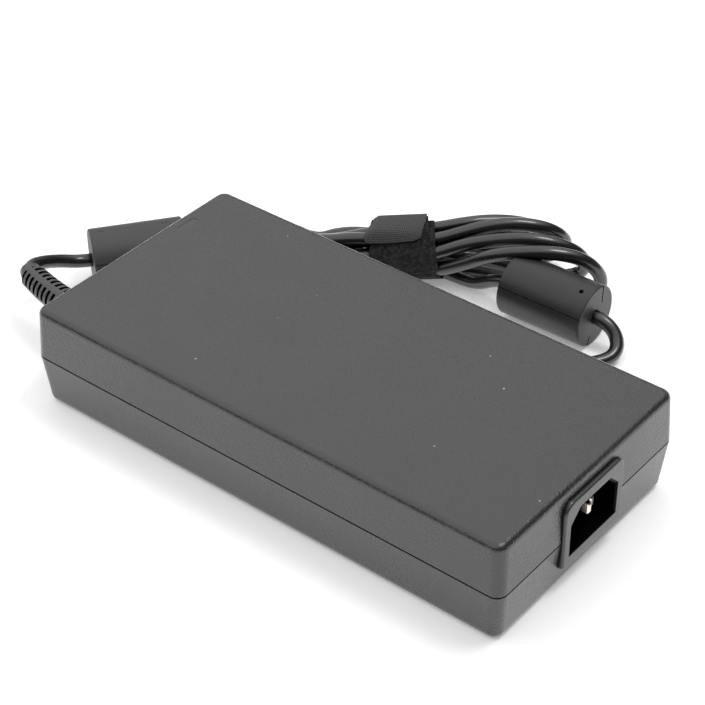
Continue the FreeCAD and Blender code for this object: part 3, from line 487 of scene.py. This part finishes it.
def make_dust_group():
    """Sparse specks of dust. Spacing and size are in millimetres."""
    tree, enter, leave = new_group("dust_specks", {"Place": None, "Spacing": 11.0, "Size": 0.5},
                                   ["Speck"])
    scale = add_math(tree, "DIVIDE", 1000.0, enter.outputs["Spacing"])
    cells = add_node(tree, "ShaderNodeTexVoronoi", {"Vector": enter.outputs["Place"],
                                                    "Scale": scale})
    parts = add_node(tree, "ShaderNodeSeparateColor", {"Color": cells.outputs["Color"]})
    reach = add_math(tree, "DIVIDE", enter.outputs["Size"], enter.outputs["Spacing"])
    reach = add_math(tree, "MULTIPLY", reach, parts.outputs["Red"])
    near = add_math(tree, "LESS_THAN", cells.outputs["Distance"], reach)
    chosen = add_math(tree, "GREATER_THAN", parts.outputs["Green"], 0.35)
    speck = add_math(tree, "MULTIPLY", near, chosen)
    speck = add_math(tree, "MULTIPLY", speck, parts.outputs["Blue"])
    tree.links.new(speck, leave.inputs["Speck"])
    return tree


def make_crevice_shade_group():
    """Painted shade from ambient occlusion: the output is 1 on a free face and falls to 0 in grooves,
    slits and gaps, where shade falls. Reach is in mm.
    """
    tree, enter, leave = new_group("painted_crevice_shade", {"Reach": 1.5, "Dark": 0.45, "Light": 0.9}, ["Open"])
    reach = add_math(tree, "MULTIPLY", enter.outputs["Reach"], MM)
    sky = add_node(tree, "ShaderNodeAmbientOcclusion", {"Distance": reach}, samples=8)
    share = add_range(tree, sky.outputs["AO"], enter.outputs["Dark"], enter.outputs["Light"], 0.0,
                      1.0)
    tree.links.new(share, leave.inputs["Open"])
    return tree


def make_rub_group():
    """Rubbed edges: where the face turns within a radius in millimetres, broken up by noise."""
    tree, enter, leave = new_group("rubbed_edge", {"Place": None, "Radius": 0.8}, ["Rub"])
    radius = add_math(tree, "MULTIPLY", enter.outputs["Radius"], MM)
    round_edge = add_node(tree, "ShaderNodeBevel", {"Radius": radius}, samples=6)
    flat = add_node(tree, "ShaderNodeNewGeometry")
    turn = add_node(tree, "ShaderNodeVectorMath", {0: round_edge.outputs["Normal"],
                                                   1: flat.outputs["Normal"]}, operation="DOT_PRODUCT")
    edge = add_range(tree, turn.outputs["Value"], 0.99, 0.86, 0.0, 1.0)
    broken = add_node(tree, "ShaderNodeTexNoise", {"Vector": enter.outputs["Place"],
                                                   "Scale": 900.0, "Detail": 4.0})
    kept = add_range(tree, broken.outputs["Fac"], 0.45, 0.65, 0.0, 1.0)
    tree.links.new(add_math(tree, "MULTIPLY", edge, kept), leave.inputs["Rub"])
    return tree


def make_weave_group():
    """Plain weave on a UV map in metres: warp and weft threads that pass over and under. Its tone
    follows the threads' height, so the gaps between threads are darker: painted shade.
    """
    tree, enter, leave = new_group("cloth_weave", {"Place": None, "Thread": 0.5},
                                   ["Height", "Tone"])
    parts = add_node(tree, "ShaderNodeSeparateXYZ", {"Vector": enter.outputs["Place"]})
    turn = add_math(tree, "DIVIDE", 1000.0 * math.pi, enter.outputs["Thread"])
    across = add_math(tree, "MULTIPLY", parts.outputs["X"], turn)
    along = add_math(tree, "MULTIPLY", parts.outputs["Y"], turn)
    warp = add_math(tree, "ABSOLUTE", add_math(tree, "SINE", across))
    weft = add_math(tree, "ABSOLUTE", add_math(tree, "SINE", along))
    over = add_math(tree, "MULTIPLY", add_math(tree, "COSINE", across),
                    add_math(tree, "COSINE", along))
    which = add_range(tree, over, -0.15, 0.15, 0.0, 1.0)
    threads = add_node(tree, "ShaderNodeMix", {"Factor": which, "A": warp, "B": weft},
                       data_type="FLOAT").outputs[0]
    yarn = add_node(tree, "ShaderNodeTexNoise", {"Vector": enter.outputs["Place"],
                                                 "Scale": 2600.0, "Detail": 3.0})
    height = add_math(tree, "MULTIPLY_ADD", yarn.outputs["Fac"], 0.35, threads)
    tree.links.new(height, leave.inputs["Height"])
    tree.links.new(add_math(tree, "MULTIPLY", height, 0.75), leave.inputs["Tone"])
    return tree


def make_pile_group():
    """Loop pile: tangled short fibres. Size is in millimetres. Its tone follows the height: lighter on
    the raised fibres as painted highlight, near black between tufts as painted shade.
    """
    tree, enter, leave = new_group("loop_pile", {"Place": None, "Size": 0.5}, ["Height", "Tone"])
    scale = add_math(tree, "DIVIDE", 1000.0, enter.outputs["Size"])
    tangle = add_node(tree, "ShaderNodeTexNoise", {"Vector": enter.outputs["Place"], "Scale": scale,
                                                   "Detail": 6.0, "Roughness": 0.75,
                                                   "Distortion": 2.0})
    tufts = add_node(tree, "ShaderNodeTexVoronoi", {"Vector": enter.outputs["Place"],
                                                    "Scale": scale}, feature="SMOOTH_F1")
    height = add_math(tree, "MULTIPLY_ADD", tufts.outputs["Distance"], -0.6,
                      tangle.outputs["Fac"])
    tree.links.new(height, leave.inputs["Height"])
    tree.links.new(add_range(tree, height, -0.1, 0.6, 0.0, 1.0), leave.inputs["Tone"])
    return tree


GRAIN = make_grain_group()
DUST = make_dust_group()
RUB = make_rub_group()
CREVICE_SHADE = make_crevice_shade_group()
WEAVE = make_weave_group()
PILE = make_pile_group()


# Materials

def add_group(tree, group, values):
    return add_node(tree, "ShaderNodeGroup", values, node_tree=group)


def add_mix(tree, share, first, second):
    return add_node(tree, "ShaderNodeMix", {"Factor": share, 6: first, 7: second},
                    data_type="RGBA").outputs[2]


def color(red, green, blue):
    return (red, green, blue, 1.0)


def start_material(name, values):
    """A material with its Principled shader, whose constant values are set on its own sockets."""
    material = bpy.data.materials.new(name)
    material.use_nodes = True
    tree = material.node_tree
    shader = tree.nodes["Principled BSDF"]
    for label, value in values.items():
        shader.inputs[label].default_value = value
    place = tree.nodes.new("ShaderNodeTexCoord").outputs["Object"]
    return material, tree, shader, place


def add_bump(tree, shader, height, depth, strength=1.0):
    """Depth is the height of the pattern in millimetres."""
    bump = add_node(tree, "ShaderNodeBump", {"Height": height, "Distance": depth * MM,
                                             "Strength": strength})
    tree.links.new(bump.outputs["Normal"], shader.inputs["Normal"])


def paint_crevice_shade(tree, shader, base, reach, painted_shade_inside=None):
    """Painted shade: black, without a sheen, in the narrow gaps that light can't reach and where the
    given mask is 1.
    """
    unshaded = add_group(tree, CREVICE_SHADE, {"Reach": reach}).outputs["Open"]
    if painted_shade_inside is not None:
        unshaded = add_math(tree, "MULTIPLY", unshaded, add_math(tree, "SUBTRACT", 1.0, painted_shade_inside))
    sheen = add_math(tree, "MULTIPLY_ADD", unshaded, 0.47, 0.03)
    tree.links.new(sheen, shader.inputs["Specular IOR Level"])
    return add_mix(tree, unshaded, color(0.001, 0.001, 0.001), base)


def make_moulded(name, dark, light, rough, grain, depth, dust=0.0, rub=0.0, reach=0.0, **values):
    """Moulded plastic or rubber: mottled tone, fine pits, dust or rubbed edges if any, and painted
    shade in crevices if reach is given.
    """
    material, tree, shader, place = start_material(name, values)
    pits = add_group(tree, GRAIN, {"Place": place, "Size": grain})
    base = add_mix(tree, pits.outputs["Tone"], dark, light)
    if dust:
        specks = add_group(tree, DUST, {"Place": place})
        share = add_math(tree, "MULTIPLY", specks.outputs["Speck"], dust)
        base = add_mix(tree, share, base, color(0.62, 0.62, 0.6))
    if rub:
        edges = add_group(tree, RUB, {"Place": place})
        share = add_math(tree, "MULTIPLY", edges.outputs["Rub"], rub)
        base = add_mix(tree, share, base, color(0.42, 0.42, 0.42))
    # Painted shade: crevices within reach millimetres turn black
    if reach:
        base = paint_crevice_shade(tree, shader, base, reach)
    tree.links.new(base, shader.inputs["Base Color"])
    spread = add_range(tree, pits.outputs["Tone"], 0.3, 0.7, rough - 0.06, rough + 0.06)
    tree.links.new(spread, shader.inputs["Roughness"])
    add_bump(tree, shader, pits.outputs["Height"], depth)
    return material


def make_metal(name, base, rough, scratch=0.3):
    """Metal with fine drawn lines along X and a patchy finish."""
    material, tree, shader, place = start_material(name, {"Metallic": 1.0})
    drawn = add_node(tree, "ShaderNodeMapping", {"Vector": place, "Scale": (60.0, 3000.0, 3000.0)})
    lines = add_node(tree, "ShaderNodeTexNoise", {"Vector": drawn.outputs["Vector"], "Scale": 1.0,
                                                  "Detail": 2.0})
    pits = add_group(tree, GRAIN, {"Place": place, "Size": 0.8})
    shade = tuple(0.8 * part for part in base[:3]) + (1.0,)
    tree.links.new(add_mix(tree, pits.outputs["Tone"], shade, base), shader.inputs["Base Color"])
    spread = add_range(tree, lines.outputs["Fac"], 0.3, 0.7, rough - 0.08, rough + 0.08)
    tree.links.new(spread, shader.inputs["Roughness"])
    add_bump(tree, shader, lines.outputs["Fac"], 0.01, scratch)
    return material


def make_wound(name, dark, light, turn, axis, **values):
    """Enamelled wire wound side by side, one wire every turn millimetres along an axis. The colour is
    darker between the turns, following the bump: painted shade in the grooves.
    """
    material, tree, shader, place = start_material(name, values)
    wires = add_node(tree, "ShaderNodeTexWave", {"Vector": place, "Scale": 1000.0 / turn / 6.3,
                                                 "Distortion": 0.4, "Detail": 1.0},
                     bands_direction=axis, wave_profile="SIN")
    tree.links.new(add_mix(tree, wires.outputs["Fac"], dark, light), shader.inputs["Base Color"])
    tree.links.new(add_range(tree, wires.outputs["Fac"], 0.0, 1.0, 0.45, 0.25),
                   shader.inputs["Roughness"])
    add_bump(tree, shader, wires.outputs["Fac"], turn / 3)
    return material


def make_cloth(name, group, size_label, size, dark, light, depth, **values):
    """Cloth on the strip's own UV map, from one of the cloth groups."""
    material, tree, shader = start_material(name, values)[:3]
    on_cloth = add_node(tree, "ShaderNodeUVMap", uv_map="cloth").outputs["UV"]
    cloth = add_group(tree, group, {"Place": on_cloth, size_label: size})
    tree.links.new(add_mix(tree, cloth.outputs["Tone"], dark, light), shader.inputs["Base Color"])
    tree.links.new(add_range(tree, cloth.outputs["Tone"], 0.2, 0.9, 0.95, 0.75),
                   shader.inputs["Roughness"])
    add_bump(tree, shader, cloth.outputs["Height"], depth)
    return material


def make_board_finish():
    """Solder mask over copper tracks, with pale pads."""
    material, tree, shader, place = start_material("board_finish", {"Coat Weight": 0.3})
    tracks = add_node(tree, "ShaderNodeTexBrick", {"Vector": place, "Scale": 60.0,
                                                   "Mortar Size": 0.06})
    base = add_mix(tree, tracks.outputs["Fac"], color(0.012, 0.07, 0.03), color(0.03, 0.13, 0.05))
    pads = add_node(tree, "ShaderNodeTexVoronoi", {"Vector": place, "Scale": 220.0})
    pad = add_math(tree, "LESS_THAN", pads.outputs["Distance"], 0.16)
    tree.links.new(add_mix(tree, pad, base, color(0.6, 0.6, 0.58)), shader.inputs["Base Color"])
    tree.links.new(add_range(tree, pad, 0.0, 1.0, 0.35, 0.2), shader.inputs["Roughness"])
    add_bump(tree, shader, tracks.outputs["Fac"], 0.03)
    return material


def between(tree, value, low, high):
    """1 where a coordinate in metres lies between two places in millimetres."""
    middle, half = (low + high) / 2 * MM, (high - low) / 2 * MM
    return add_math(tree, "COMPARE", value, middle, half)


# The box inside the socket that is painted black as shade, in millimetres
SOCKET_HALF = 13.6
SOCKET_LOW = 12.8
SOCKET_HIGH = 30.9
SOCKET_DEEP = 60


def make_inlet_finish():
    """The inlet's grained bezel, and its socket, whose inside is painted black as shade."""
    material, tree, shader, place = start_material("inlet_finish", {"IOR": 1.6})
    pits = add_group(tree, GRAIN, {"Place": place, "Size": 0.7})
    parts = add_node(tree, "ShaderNodeSeparateXYZ", {"Vector": place})
    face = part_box("inlet_housing")[1].x / MM
    painted_shade_inside = between(tree, parts.outputs["X"], face - SOCKET_DEEP, face - 0.1)
    wide = between(tree, parts.outputs["Y"], -SOCKET_HALF, SOCKET_HALF)
    high = between(tree, parts.outputs["Z"], SOCKET_LOW, SOCKET_HIGH)
    painted_shade_inside = add_math(tree, "MULTIPLY", painted_shade_inside, add_math(tree, "MULTIPLY", wide, high))
    bezel = add_mix(tree, pits.outputs["Tone"], CASE_DARK, CASE_LIGHT)
    # Painted shade: the crevices and the socket's inside turn black
    tree.links.new(paint_crevice_shade(tree, shader, bezel, 1.2, painted_shade_inside), shader.inputs["Base Color"])
    tree.links.new(add_range(tree, painted_shade_inside, 0.0, 1.0, 0.3, 0.4), shader.inputs["Roughness"])
    outside = add_math(tree, "SUBTRACT", 1.0, painted_shade_inside)
    add_bump(tree, shader, add_math(tree, "MULTIPLY", pits.outputs["Height"], outside), 0.06)
    return material


CASE_DARK = color(0.026, 0.026, 0.0265)
CASE_LIGHT = color(0.038, 0.038, 0.0385)

# reach is the distance, in mm, over which a finish's crevices get painted shade
FINISHES = {
    "case": make_moulded("case_finish", CASE_DARK, CASE_LIGHT, 0.27, 0.75, 0.11, dust=0.8,
                         rub=0.08, reach=1.4, IOR=1.6),
    "inlet": make_inlet_finish(),
    "light_window": make_moulded("light_window_finish", CASE_DARK, CASE_LIGHT, 0.27, 0.75, 0.03,
                                 reach=0.8, IOR=1.6),
    "choke": make_moulded("choke_finish", color(0.016, 0.016, 0.017), color(0.026, 0.026, 0.028),
                          0.42, 0.6, 0.06, dust=0.5, rub=0.1, reach=1.2),
    # Painted light: choke 1's shell is the same plastic as choke 2's, painted lighter for the light it
    # catches
    "painted_light_choke": make_moulded("painted_light_choke_finish", color(0.04, 0.04, 0.042),
                               color(0.06, 0.06, 0.063), 0.55, 0.6, 0.06, rub=0.1, reach=1.2),
    "relief": make_moulded("relief_finish", color(0.05, 0.05, 0.051), color(0.08, 0.08, 0.08),
                           0.45, 0.5, 0.02, rub=0.3, reach=2.4),
    "cord": make_moulded("cord_finish", color(0.010, 0.010, 0.011), color(0.016, 0.016, 0.017),
                         0.3, 0.8, 0.003, dust=0.2, reach=3.0,
                         **{"Coat Weight": 0.6, "Coat Roughness": 0.13}),
    "plug_rubber": make_moulded("plug_rubber_finish", color(0.015, 0.015, 0.016),
                                color(0.028, 0.028, 0.03), 0.48, 0.5, 0.02),
    "insulator": make_moulded("insulator_finish", color(0.02, 0.02, 0.02),
                              color(0.035, 0.035, 0.035), 0.35, 0.5, 0.01),
    "ferrite": make_moulded("ferrite_finish", color(0.04, 0.04, 0.042), color(0.08, 0.078, 0.075),
                            0.6, 0.7, 0.04),
    "component": make_moulded("component_finish", color(0.02, 0.02, 0.022),
                              color(0.045, 0.045, 0.048), 0.5, 0.4, 0.02),
    "capacitor": make_moulded("capacitor_finish", color(0.35, 0.25, 0.03),
                              color(0.5, 0.38, 0.06), 0.4, 0.9, 0.02),
    "sleeve": make_moulded("sleeve_finish", color(0.02, 0.03, 0.05), color(0.04, 0.05, 0.08),
                           0.28, 1.5, 0.01),
    "film": make_moulded("film_finish", color(0.5, 0.45, 0.3), color(0.6, 0.55, 0.4), 0.3, 2.0,
                         0.005),
    "pad": make_moulded("pad_finish", color(0.35, 0.4, 0.5), color(0.45, 0.5, 0.6), 0.7, 0.8, 0.03),
    "wire": make_moulded("wire_finish", color(0.02, 0.02, 0.02), color(0.04, 0.04, 0.04), 0.4, 0.8,
                         0.01),
    "emitter": make_moulded("emitter_finish", color(0.7, 0.72, 0.65), color(0.85, 0.87, 0.8), 0.25,
                            0.8, 0.005),
    "pin": make_metal("pin_finish", color(0.86, 0.8, 0.7), 0.28),
    "plug_metal": make_metal("plug_metal_finish", color(0.82, 0.82, 0.82), 0.2),
    "aluminium": make_metal("aluminium_finish", color(0.76, 0.77, 0.79), 0.35),
    "copper": make_wound("copper_finish", color(0.25, 0.07, 0.02), color(0.6, 0.24, 0.08), 0.8,
                         "Z", Metallic=0.6),
    "board": make_board_finish(),
    "flap": make_cloth("flap_finish", WEAVE, "Thread", 0.8, color(0.018, 0.018, 0.019),
                       color(0.103, 0.103, 0.105), 0.25),
    "band": make_cloth("band_finish", PILE, "Size", 1.1, color(0.001, 0.001, 0.001),
                       color(0.04, 0.04, 0.04), 1.0),
}

FINISH_OF_NODE = {
    "case": ["top_cover", "bottom_cover"],
    "inlet": ["inlet_housing"],
    "pin": ["inlet_earth_pin", "inlet_neutral_pin", "inlet_line_pin"],
    "light_window": ["light_pipe"],
    "emitter": ["status_led"],
    "board": ["circuit_board"],
    "film": ["insulation_sheet"],
    "aluminium": ["heat_spreader", "primary_heatsink", "secondary_heatsink"],
    "pad": ["thermal_pads"],
    "component": ["fuse", "bridge_rectifier", "switching_transistors", "output_rectifiers",
                  "control_chips"],
    "capacitor": ["x_capacitor"],
    "sleeve": ["bulk_capacitor", "output_capacitors"],
    "ferrite": ["line_choke_core", "boost_inductor_core", "transformer_core", "choke_1_ferrite",
                "choke_2_ferrite"],
    "copper": ["line_choke_winding", "boost_inductor_winding", "transformer_winding"],
    "wire": ["mains_wires", "output_wires"],
    "relief": ["strain_relief"],
    "painted_light_choke": ["choke_1_shell_upper", "choke_1_shell_lower"],
    "choke": ["choke_2_shell_upper", "choke_2_shell_lower"],
    "cord": ["cord_to_choke_1", "cord_in_choke_1", "cord_to_hank", "cord_hank", "cord_from_hank",
             "cord_in_choke_2", "cord_tail"],
    "band": ["hank_strap"],
    "plug_rubber": ["plug_grip"],
    "plug_metal": ["plug_sleeve", "plug_centre_pin"],
    "insulator": ["plug_insulator"],
}

for finish, nodes in FINISH_OF_NODE.items():
    for node in nodes:
        for slot in NODES[node].material_slots:
            slot.material = FINISHES[finish]
cord.data.materials.append(FINISHES["cord"])
band.data.materials.append(FINISHES["band"])
flap.data.materials.append(FINISHES["flap"])


# Floor, lights and world

FLOOR_GLOW = 0.25
FLOOR_GLOW_IN_MIRRORS = 0.3
CEILING_LEAN = (-0.33, 0.0, 0.94)
HORIZON_LIGHT = 0.05
CEILING_LIGHT = 1.3


def add_floor():
    """A pale floor. The camera and mirror-like faces see it a little brighter than it is lit."""
    mesh = bpy.data.meshes.new("floor")
    half = 4.0
    mesh.from_pydata([(-half, -half, 0), (half, -half, 0), (half, half, 0), (-half, half, 0)], [],
                     [(0, 1, 2, 3)])
    floor = bpy.data.objects.new("floor", mesh)
    bpy.context.scene.collection.objects.link(floor)
    material, tree, shader, place = start_material("floor_finish", {"Roughness": 0.8})
    paper = add_node(tree, "ShaderNodeTexNoise", {"Vector": place, "Scale": 6.0, "Detail": 3.0})
    tree.links.new(add_mix(tree, paper.outputs["Fac"], color(0.9, 0.9, 0.9),
                           color(0.93, 0.93, 0.93)), shader.inputs["Base Color"])
    path = tree.nodes.new("ShaderNodeLightPath")
    seen = add_math(tree, "MAXIMUM", path.outputs["Is Camera Ray"], path.outputs["Is Glossy Ray"])
    seen = add_math(tree, "MAXIMUM", seen, path.outputs["Is Transmission Ray"])
    lift = add_math(tree, "MULTIPLY", seen, FLOOR_GLOW)
    lift = add_math(tree, "MULTIPLY_ADD", path.outputs["Is Glossy Ray"], FLOOR_GLOW_IN_MIRRORS, lift)
    glow = add_node(tree, "ShaderNodeEmission", {"Color": color(1, 1, 1), "Strength": lift})
    both = add_node(tree, "ShaderNodeAddShader", {0: shader.outputs["BSDF"],
                                                  1: glow.outputs["Emission"]})
    output = tree.nodes["Material Output"]
    tree.links.new(both.outputs["Shader"], output.inputs["Surface"])
    mesh.materials.append(material)


def add_lamp(name, place, aim, size, power):
    lamp = bpy.data.lights.new(name, "AREA")
    lamp.shape = "RECTANGLE"
    lamp.size, lamp.size_y = size
    lamp.energy = power
    holder = bpy.data.objects.new(name, lamp)
    holder.location = place
    look = Vector(aim) - Vector(place)
    holder.rotation_euler = look.to_track_quat("-Z", "Y").to_euler()
    bpy.context.scene.collection.objects.link(holder)


def add_world():
    """A bright ceiling that leans to the left and fades to a dim horizon. The camera sees white."""
    world = bpy.data.worlds.new("studio")
    world.use_nodes = True
    tree = world.node_tree
    shade = tree.nodes["Background"]
    ray = tree.nodes.new("ShaderNodeTexCoord").outputs["Generated"]
    height = add_node(tree, "ShaderNodeVectorMath", {0: ray, 1: CEILING_LEAN},
                      operation="DOT_PRODUCT").outputs["Value"]
    ceiling = add_range(tree, height, 0.34, 0.74, HORIZON_LIGHT, CEILING_LIGHT)
    path = tree.nodes.new("ShaderNodeLightPath")
    strength = add_node(tree, "ShaderNodeMix", {"Factor": path.outputs["Is Camera Ray"],
                                                "A": ceiling, "B": 1.0}, data_type="FLOAT")
    tree.links.new(strength.outputs[0], shade.inputs["Strength"])
    shade.inputs["Color"].default_value = (1.0, 1.0, 1.0, 1.0)
    bpy.context.scene.world = world


add_floor()
add_world()
add_lamp("overhead_softbox", (0.375, 0.375, 1.4), (0, 0.02, 0), (0.4, 0.4), 6.0)
bpy.context.scene.view_settings.view_transform = "Standard"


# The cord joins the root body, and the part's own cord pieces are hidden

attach(cord, "root")
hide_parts("cord_to_choke_1", "cord_in_choke_1", "cord_to_hank", "cord_hank",
            "cord_from_hank", "cord_in_choke_2", "cord_tail")
